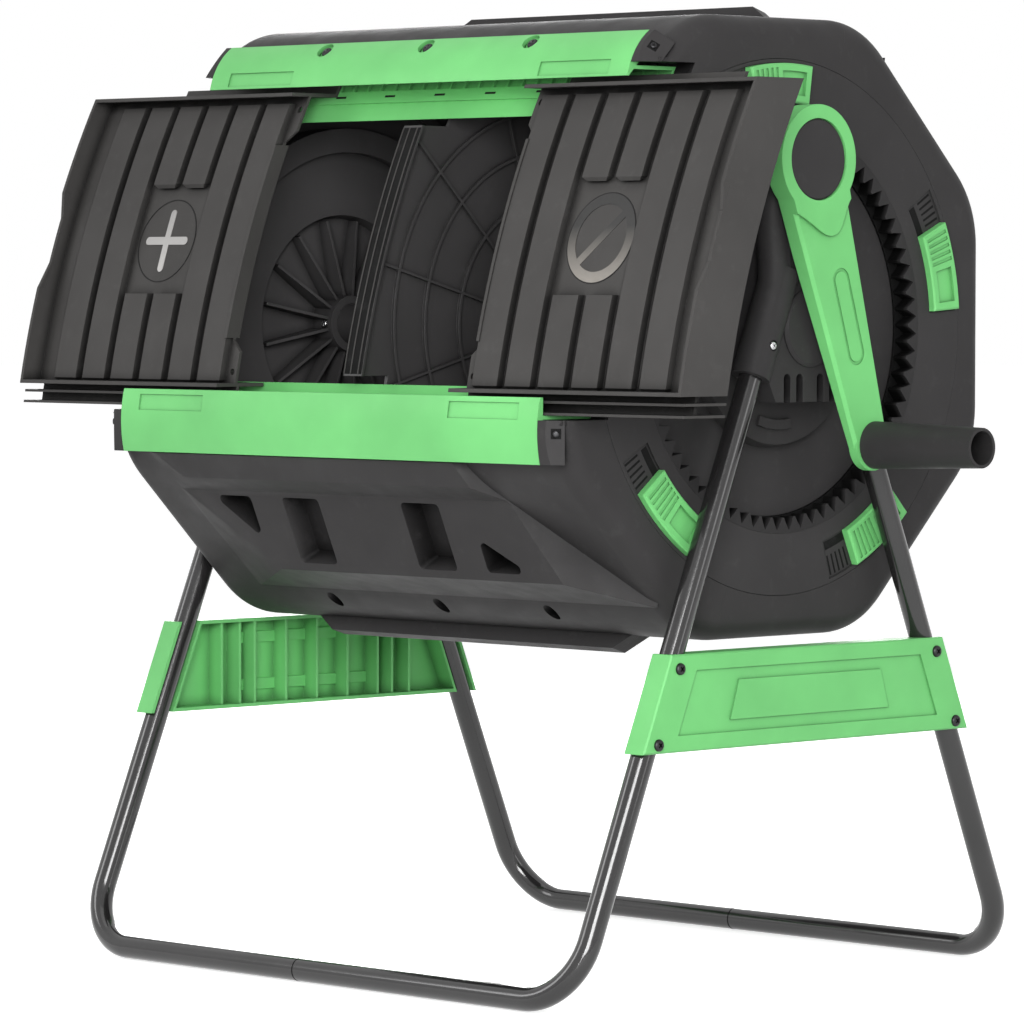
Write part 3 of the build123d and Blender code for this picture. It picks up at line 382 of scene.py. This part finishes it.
def edge_loop(shape, verts):
    """New edges all round a loop of points."""
    return [shape.edges.new((verts[k - 1], verts[k])) for k in range(len(verts))]


def full_turn(steps):
    """Angles of a full turn in equal steps."""
    return [2 * pi * k / steps for k in range(steps)]


def ring_at(shape, x, y, z, radius, steps):
    """A ring of points about an axis along X."""
    return [shape.verts.new((x, y + radius * cos(a), z + radius * sin(a))) for a in full_turn(steps)]


def block(shape, low, high):
    """A straight-sided block between two corners."""
    corners = [shape.verts.new((x, y, z))
               for x in (low[0], high[0]) for y in (low[1], high[1]) for z in (low[2], high[2])]
    for face in ((0, 1, 3, 2), (4, 5, 7, 6), (0, 1, 5, 4), (2, 3, 7, 6), (0, 2, 6, 4), (1, 3, 7, 5)):
        shape.faces.new([corners[k] for k in face])


def door_y(height, shift):
    """Y of the door arc, moved inwards by shift, at a height over the drum axis."""
    middle = (door_top + door_bottom) / 2
    chord = door_top - door_bottom
    rise = sqrt(door_radius**2 - (chord.length / 2) ** 2)
    centre_y = middle.x + rise * chord.y / chord.length
    centre_z = middle.y - rise * chord.x / chord.length
    return centre_y - sqrt(door_radius**2 - (height - centre_z) ** 2) + shift


def on_arc(x, height, shift):
    """A point on the door arc, moved inwards by shift."""
    return x, door_y(height, shift), axis_height + height


def slab(shape, outline, holes, thickness):
    """A thin closed plate on the door floor from an outline of (x, height) points and holes."""
    rings = []
    for lift in (thickness, 0):
        edges, ring = [], []
        for loop in (outline, *holes):
            verts = [shape.verts.new(on_arc(x, z, door_floor - lift)) for x, z in loop]
            ring.append(verts)
            edges += edge_loop(shape, verts)
        bmesh.ops.triangle_fill(shape, use_beauty=True, use_dissolve=False, edges=edges)
        rings.append(ring)
    for upper, lower in zip(*rings):
        band(shape, upper, lower)


def arc(centre, radius, start, end, steps):
    """Points on a circle between two angles in degrees."""
    angles = [radians(start + (end - start) * k / steps) for k in range(steps + 1)]
    return [(centre[0] + radius * cos(a), centre[1] + radius * sin(a)) for a in angles]


# Door signs
sign_height = 0.081
sign_offset = 0.135
plus_shift = 0.003
plus_half = 0.03
bar_half = 0.0038
ring_radius = 0.04
ring_width = 0.0095
outline_width = 0.0009
sign_lift = 0.0006
bar_angle = 45
circle_points = 48
tip_steps = 8
half_steps = 20


def circle(centre, radius):
    """Points all round a circle."""
    return arc(centre, radius, 0, 360 - 360 / circle_points, circle_points - 1)


def plus_outline(centre):
    """A plus with round ends."""
    points = []
    for turn in range(4):
        end = (centre[0] + (plus_half - bar_half) * cos(radians(90 * turn)),
               centre[1] + (plus_half - bar_half) * sin(radians(90 * turn)))
        points += arc(end, bar_half, 90 * turn - 90, 90 * turn + 90, tip_steps)
        corner = radians(90 * turn + 45)
        points.append((centre[0] + bar_half * sqrt(2) * cos(corner), centre[1] + bar_half * sqrt(2) * sin(corner)))
    return points


def half_hole(centre, start):
    """One half of a ring's opening beside the slanted bar."""
    inner = ring_radius - ring_width
    trim = 180 / pi * atan(bar_half / inner)
    return arc(centre, inner, start + trim, start + 180 - trim, half_steps)


def sign(name, outline, holes, body, material):
    """A thin sign on the floor of a door."""
    mesh_piece(name, lambda shape: slab(shape, outline, holes, sign_lift), body, material)


left_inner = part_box("left_door")[1].x
right_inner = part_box("right_door")[0].x
left_sign = (left_inner - sign_offset - plus_shift, sign_height)
right_sign = (right_inner + sign_offset, sign_height)
sign("plus_sign", plus_outline(left_sign), [], "left_door", plus_foil)
sign("plus_circle", circle(left_sign, ring_radius), [circle(left_sign, ring_radius - outline_width)], "left_door",
     print_and_slot_shade_black)
sign("ring_sign", circle(right_sign, ring_radius),
     [half_hole(right_sign, bar_angle), half_hole(right_sign, bar_angle + 180)], "right_door", ring_foil)
sign("ring_circle", circle(right_sign, ring_radius + outline_width), [circle(right_sign, ring_radius)], "right_door",
     print_and_slot_shade_black)


# Slopes at both ends of the dip in each door's outer wall
rim_level = -0.014
dip_level = -0.006
dip_ends = ((0.1287, 0.104), (0.0353, 0.06))
rim_wall = 0.0035


def rim_slopes(shape, outside, inside):
    """Wedges between two X positions that lead from the rim down into the dip."""
    for rim, dip in dip_ends:
        outline = [(rim, rim_level), (dip, dip_level), (rim, dip_level)]
        near, far = [[shape.verts.new(on_arc(x, z, level)) for z, level in outline] for x in (outside, inside)]
        prism(shape, near, far)


left_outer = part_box("left_door")[0].x
right_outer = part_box("right_door")[1].x
mesh_piece("left_rim_slopes", lambda shape: rim_slopes(shape, left_outer, left_outer + rim_wall), "left_door",
           door_black)
mesh_piece("right_rim_slopes", lambda shape: rim_slopes(shape, right_outer, right_outer - rim_wall), "right_door",
           door_black)


# Raised lines along the front of the divider, and dark strips of painted shade for its channels
divider_level = 0.018
divider_span = (-0.044, 0.186)
ridge_starts = (-0.0119, -0.0035, 0.0065)
ridge_width = 0.0014
ridge_height = 0.0006
channel_spans = ((-0.0104, -0.0036), (-0.002, 0.0064), (0.0081, 0.0118))
strip_thick = 0.0001
strip_steps = 24


def arc_strip(shape, x0, x1, height, level, span):
    """A strip that follows the door arc at a level behind it, over a span of heights."""
    heights = [span[0] + (span[1] - span[0]) * k / strip_steps for k in range(strip_steps + 1)]
    profile = ((x0, 0), (x0, height), (x1, height), (x1, 0))
    rows = [[shape.verts.new(on_arc(x, z, level - lift)) for x, lift in profile] for z in heights]
    for low, high in zip(rows, rows[1:]):
        band(shape, low, high)
    shape.faces.new(rows[0])
    shape.faces.new(rows[-1])


def divider_ridges(shape):
    """Raised lines on the divider's front."""
    for x in ridge_starts:
        arc_strip(shape, x, x + ridge_width, ridge_height, divider_level, divider_span)


def divider_channel_shade(shape):
    """Thin dark strips between the raised ones: painted shade of the channels."""
    for x0, x1 in channel_spans:
        arc_strip(shape, x0, x1, strip_thick, divider_level, divider_span)


mesh_piece("divider_ridges", divider_ridges, "drum", door_black)
mesh_piece("divider_channel_shade", divider_channel_shade, "drum", painted_shade_and_dark_line_black)


# Plate over the foot of the upper rail's gussets, with a row of thin dark strips: painted shade of slots
ledge_level = 0.0468
ledge_half = 0.278
ledge_thick = 0.0034
ledge_span = (0.212, 0.2235)
slot_span = (0.2172, 0.2192)
slot_first = -0.221
slot_pitch = 0.068
slot_length = 0.014
slot_count = 7


def rail_ledge(shape):
    """The plate, over the whole length of the rail."""
    arc_strip(shape, -ledge_half, ledge_half, ledge_thick, ledge_level + ledge_thick, ledge_span)


def rail_slot_shade(shape):
    """Thin dark strips on the plate: painted shade of the slots."""
    for k in range(slot_count):
        start = slot_first + slot_pitch * k
        arc_strip(shape, start, start + slot_length, strip_thick, ledge_level, slot_span)


mesh_piece("rail_ledge", rail_ledge, "drum", green)
mesh_piece("rail_slot_shade", rail_slot_shade, "drum", print_and_slot_shade_black)


# Screw heads: outline as shares of radius and height, then arm length, arm width, floor and taper of the cross recess
head_profile = ((1, 0), (1, 0.35), (0.93, 0.68), (0.78, 0.9), (0.62, 1))
head_steps = 24
cross_reach = 0.52
cross_half = 0.13
pit_floor = 0.35
pit_taper = 0.72


def screw_head(shape, seat, out, radius, height):
    """A domed head on a seat, with a cross recess."""
    side = out.orthogonal().normalized()
    up = out.cross(side)
    loops = [[shape.verts.new(seat + out * (height * rise) + (side * cos(a) + up * sin(a)) * radius * share)
              for a in full_turn(head_steps)] for share, rise in head_profile]
    for lower, upper in zip(loops, loops[1:]):
        band(shape, lower, upper)
    shape.faces.new(loops[0])
    tip, half = radius * cross_reach, radius * cross_half
    cross = [(tip, -half), (tip, half), (half, half), (half, tip), (-half, tip), (-half, half), (-tip, half),
             (-tip, -half), (-half, -half), (-half, -tip), (half, -tip), (half, -half)]
    brim = [shape.verts.new(seat + out * height + side * a + up * b) for a, b in cross]
    pit = [shape.verts.new(seat + out * height * pit_floor + (side * a + up * b) * pit_taper) for a, b in cross]
    rim = loops[-1]
    edges = [shape.edges.get((rim[k - 1], rim[k])) for k in range(head_steps)] + edge_loop(shape, brim)
    bmesh.ops.triangle_fill(shape, use_beauty=True, use_dissolve=False, edges=edges)
    band(shape, brim, pit)
    shape.faces.new(pit)


def screws(name, places, out, size, body, material, node):
    """Screw heads of one size that stand for one CAD node of screws; out gives the direction at a place."""
    def build(shape):
        for place in places:
            screw_head(shape, Vector(place), out(place), *size)
    piece = mesh_piece(name, build, body, material)
    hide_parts(node)


# Seats of the screws, and radius and height of their heads
panel_screw_z = (0.237, 0.304)
panel_face = 0.345
panel_head = (0.0055, 0.0032)
foot_reach = 0.297
tube_radius = 0.011
leg_slope = 0.4152
rail_screw_x = (-0.139, 0, 0.139)
rail_screw_up = 0.073
rail_seat = 0.009
rail_head = (0.0055, 0.0028)
seam_screw_x = (-0.147, 0, 0.147)
seam_screw_y = 0.124
seam_screw_rise = 0.264
seam_head = (0.0055, 0.0038)
bracket_seat = 0.346
bracket_screw_z = 0.593
bracket_head = (0.004, 0.0024)
axle_screw_x = 0.28
axle_screw_angles = (45, 180, 315)
axle_seat = 0.0294
axle_head = (0.004, 0.0026)


def leg_y(height):
    """Distance of a leg's centre line from the middle plane at a height."""
    return foot_reach - (height - tube_radius) * leg_slope


def end_out(place):
    """Away from the middle along X."""
    return Vector((1 if place[0] > 0 else -1, 0, 0))


def seam_out(place):
    """Away from the middle along Y."""
    return Vector((0, 1 if place[1] > 0 else -1, 0))


def rail_out(place):
    """Square to the flat under the upper rail, the same at each screw."""
    return Vector((0, -diagonal, diagonal))


def axle_out(place):
    """Away from the drum axis."""
    return Vector((0, place[1], place[2] - axis_height)).normalized()


for side, name in ends:
    panel_spots = [(side * panel_face, face * leg_y(z), z) for face in (-1, 1) for z in panel_screw_z]
    screws(f"panel_heads_{name}", panel_spots, end_out, panel_head, "frame", dark_steel, f"panel_screws_{name}")
    bracket_spots = [(side * bracket_seat, face * leg_y(bracket_screw_z), bracket_screw_z) for face in (-1, 1)]
    screws(f"bracket_heads_{name}", bracket_spots, end_out, bracket_head, "frame", bright_steel,
           f"bracket_screws_{name}")
rail_rise = flat_reach + rail_seat
rail_spots = [(x, diagonal * (rail_screw_up - rail_rise), axis_height + diagonal * (rail_screw_up + rail_rise))
              for x in rail_screw_x]
screws("rail_heads", rail_spots, rail_out, rail_head, "drum", dark_steel, "rail_screws")
seam_spots = [(x, face * seam_screw_y, axis_height + face * seam_screw_rise) for x in seam_screw_x for face in (-1, 1)]
screws("seam_heads", seam_spots, seam_out, seam_head, "drum", dark_steel, "seam_screws")
axle_spots = [(side * axle_screw_x, axle_seat * cos(radians(a)), axis_height + axle_seat * sin(radians(a)))
              for side in (-1, 1) for a in axle_screw_angles]
screws("axle_heads", axle_spots, axle_out, axle_head, "drum", bright_steel, "axle_screws")


# Small square screw recesses on the slanted ends of the sills beside the rails, drawn as dark plates of painted shade:
# centre, outward and upward direction
seat_half = 0.0046
seat_sink = 0.0003
seat_lift = 0.0002
corner_head = (0.003, 0.0016)
lower_seat = (Vector((0.2993, -0.2877, 0.5159)), Vector((1, -1, 0)), Vector((0, 0, 1)))
upper_seat = (Vector((0.2946, -0.1591, 0.8633)), Vector((sqrt(2), -1, 1)), Vector((0, 1, 1)))


def seat_axes():
    """Centre, outward and upward direction of each seat, at both ends of the drum."""
    for place, out, up in (lower_seat, upper_seat):
        for side in (-1, 1):
            mirror = Vector((side, 1, 1))
            yield place * mirror, (out * mirror).normalized(), up.normalized()


def corner_recess_shade(shape):
    """Dark square plates: painted shade of the recesses."""
    for place, outward, upward in seat_axes():
        sideways = outward.cross(upward)
        low, high = [[shape.verts.new(place + outward * lift + (sideways * a + upward * b) * seat_half)
                      for a, b in ((-1, -1), (1, -1), (1, 1), (-1, 1))] for lift in (-seat_sink, seat_lift)]
        prism(shape, low, high)


def corner_heads(shape):
    """A screw head on each seat."""
    for place, outward, _ in seat_axes():
        screw_head(shape, place + outward * seat_lift, outward, *corner_head)


mesh_piece("corner_recess_shade", corner_recess_shade, "drum", painted_shade_and_dark_line_black)
mesh_piece("corner_heads", corner_heads, "drum", dark_steel)


# Dark grip lines, and a dark plate of painted shade for the open slot at the free end of each latch track; angles in
# degrees about the drum axis
track_floor = 0.3064
line_thick = 0.00005
latch_angles = (92, 14, -56, -132)
latch_ways = (1, 1, -1, -1)
latch_half_span = 10
line_count = 5
line_first = 1
line_pitch = 1.5
line_turn = 0.55
line_radii = (0.222, 0.241)
track_slot_turn = 7.6
track_slot_radii = (0.2085, 0.2165)
plate_steps = 6


def ring_plate(shape, side, radii, start, end):
    """A thin plate on a track's floor between two radii and two angles about the drum axis."""
    inner, outer = radii
    angles = [radians(start + (end - start) * k / plate_steps) for k in range(plate_steps + 1)]
    loop = [(outer, a) for a in angles] + [(inner, a) for a in reversed(angles)]
    layers = [[shape.verts.new((side * x, r * cos(a), axis_height + r * sin(a))) for r, a in loop]
              for x in (track_floor, track_floor + line_thick)]
    band(shape, *layers)
    last = len(loop) - 1
    for ring in layers:
        for k in range(plate_steps):
            shape.faces.new((ring[k], ring[k + 1], ring[last - 1 - k], ring[last - k]))


def track_lines(shape, side):
    """The grip lines, and the painted shade of the slot, of the four tracks at one end."""
    for angle, way in zip(latch_angles, latch_ways):
        edge = angle + way * latch_half_span
        for k in range(line_count):
            place = edge + way * (line_first + line_pitch * k)
            ring_plate(shape, side, line_radii, place, place + way * line_turn)
        ring_plate(shape, side, track_slot_radii, edge, edge + way * track_slot_turn)


for side, name in ends:
    mesh_piece(f"track_lines_{name}", lambda shape: track_lines(shape, side), "drum", painted_shade_and_dark_line_black)


# Painted shade: a dark ring behind the gaps between the ring gear's teeth
back_radii = (0.1745, 0.1868)
back_faces = (0.2915, 0.29185)
back_steps = 96


def tooth_gap_shade(shape):
    """A flat closed ring of painted shade behind the teeth."""
    rings = [ring_at(shape, x, 0, axis_height, radius, back_steps) for radius in back_radii for x in back_faces]
    for near, far in ((0, 1), (1, 3), (3, 2), (2, 0)):
        band(shape, rings[near], rings[far])


mesh_piece("tooth_gap_shade", tooth_gap_shade, "drum", painted_shade_and_dark_line_black)


# Raised frame on the inside of each side panel, behind the sunk frame of its face
panel_skin = 0.3415
frame_face = 0.339
frame_half = 0.1
frame_width = 0.011
lower_band = (0.244, 0.255)
upper_band = (0.291, 0.302)


def panel_frame(shape, side):
    """Two long bars and two short ones between them."""
    skin, face = side * panel_skin, side * frame_face
    for low, high in (lower_band, upper_band):
        block(shape, (skin, -frame_half, low), (face, frame_half, high))
    for y in (-frame_half, frame_half - frame_width):
        block(shape, (skin, y, lower_band[1]), (face, y + frame_width, upper_band[0]))


for side, name in ends:
    mesh_piece(f"panel_frame_{name}", lambda shape: panel_frame(shape, side), "frame", green)


# Joint line in the middle of each floor bar
joint_start = -0.0256
joint_end = -0.0244
joint_radius = 0.01115
joint_steps = 32


def joint_line(shape):
    """A thin dark collar round each bar."""
    profile = ((joint_start, tube_radius), (joint_start, joint_radius), (joint_end, joint_radius),
               (joint_end, tube_radius))
    for face in (-1, 1):
        loops = [ring_at(shape, x, face * foot_reach, tube_radius, radius, joint_steps) for x, radius in profile]
        for near, far in zip(loops, loops[1:] + loops[:1]):
            band(shape, near, far)


mesh_piece("joint_line", joint_line, "frame", painted_shade_and_dark_line_black)

# Stage: floor, even light of the world, and lamps as place, width, height and power in watts
floor_size = 60
floor_drop = 0.0005
floor_grey = 0.66
floor_glow = 0.68
world_level = 0.42
lamp_target = (0, 0, 0.55)
lamps = {
    "key": ((2.4, -2.5, 1.2), 1.4, 1.4, 98),
    "front": ((-2.2, -2.9, 1.8), 1.2, 1.2, 20),
    "strip": ((2.3, -3.6, 1.0), 0.08, 2.4, 16),
    "side": ((3.8, 0.7, 1.6), 0.6, 2.2, 12),
    "top": ((-0.2, -0.5, 3.4), 2.2, 2.2, 9),
    "back": ((-2.7, 2.5, 1.2), 1.6, 1.6, 60),
}


def either(tree, first, second):
    """The larger of two values."""
    node = add_node(tree, "ShaderNodeMath", operation="MAXIMUM")
    tree.links.new(first, node.inputs[0])
    tree.links.new(second, node.inputs[1])
    return node.outputs["Value"]


def studio_floor():
    """A pale floor that keeps the shadow and shows white to the camera."""
    bpy.ops.mesh.primitive_plane_add(size=floor_size, location=(0, 0, -floor_drop))
    floor = bpy.context.object
    floor.name = "floor"
    material, tree, shader = new_material("floor_white")
    shader.inputs["Base Color"].default_value = (floor_grey, floor_grey, floor_grey, 1)
    shader.inputs["Roughness"].default_value = 0.9
    path = add_node(tree, "ShaderNodeLightPath")
    glow = add_node(tree, "ShaderNodeEmission")
    glow.inputs["Color"].default_value = (1, 1, 1, 1)
    seen = add_node(tree, "ShaderNodeMath", operation="MULTIPLY")
    seen.inputs[1].default_value = floor_glow
    tree.links.new(either(tree, path.outputs["Is Camera Ray"], path.outputs["Is Glossy Ray"]), seen.inputs[0])
    tree.links.new(seen.outputs["Value"], glow.inputs["Strength"])
    total = add_node(tree, "ShaderNodeAddShader")
    tree.links.new(shader.outputs["BSDF"], total.inputs[0])
    tree.links.new(glow.outputs["Emission"], total.inputs[1])
    tree.links.new(total.outputs["Shader"], tree.nodes["Material Output"].inputs["Surface"])
    floor.data.materials.append(material)


def studio_world():
    """Even soft light, with plain white where the camera or a reflection looks past the object."""
    world = bpy.data.worlds.new("studio")
    scene.world = world
    world.use_nodes = True
    tree = world.node_tree
    even = tree.nodes["Background"]
    even.inputs["Color"].default_value = (1, 1, 1, 1)
    even.inputs["Strength"].default_value = world_level
    white = add_node(tree, "ShaderNodeBackground")
    white.inputs["Color"].default_value = (1, 1, 1, 1)
    white.inputs["Strength"].default_value = 1
    path = add_node(tree, "ShaderNodeLightPath")
    seen = either(tree, path.outputs["Is Camera Ray"], path.outputs["Is Transmission Ray"])
    mix = add_node(tree, "ShaderNodeMixShader")
    tree.links.new(either(tree, seen, path.outputs["Is Glossy Ray"]), mix.inputs["Fac"])
    tree.links.new(even.outputs["Background"], mix.inputs[1])
    tree.links.new(white.outputs["Background"], mix.inputs[2])
    tree.links.new(mix.outputs["Shader"], tree.nodes["World Output"].inputs["Surface"])


def softbox(name, place, width, height, power):
    """A rectangular studio lamp aimed at the object."""
    lamp = bpy.data.lights.new(name, "AREA")
    lamp.shape = "RECTANGLE"
    lamp.size = width
    lamp.size_y = height
    lamp.energy = power
    holder = bpy.data.objects.new(name, lamp)
    scene.collection.objects.link(holder)
    holder.location = place
    holder.rotation_euler = (Vector(lamp_target) - Vector(place)).to_track_quat("-Z", "Y").to_euler()


def photo_camera():
    """The photograph's viewpoint, aimed at the middle of its frame."""
    camera = bpy.data.cameras.new("camera")
    holder = bpy.data.objects.new("camera", camera)
    scene.collection.objects.link(holder)
    scene.camera = holder
    camera_up = camera_back.cross(camera_right)
    half = photo_side / 2
    aim = (-camera_back * photo_focus + camera_right * (half - photo_centre[0])
           + camera_up * (photo_centre[1] - half))
    camera.sensor_width = sensor_width
    camera.lens = sensor_width * aim.length / photo_side
    camera.clip_end = clip_end
    back = -aim.normalized()
    right = camera_up.cross(back).normalized()
    turn = Matrix((right, back.cross(right), back)).transposed()
    holder.matrix_world = Matrix.Translation(camera_place) @ turn.to_4x4()


studio_floor()
studio_world()
for name, settings in lamps.items():
    softbox(name, *settings)
photo_camera()
scene.view_settings.view_transform = "Standard"
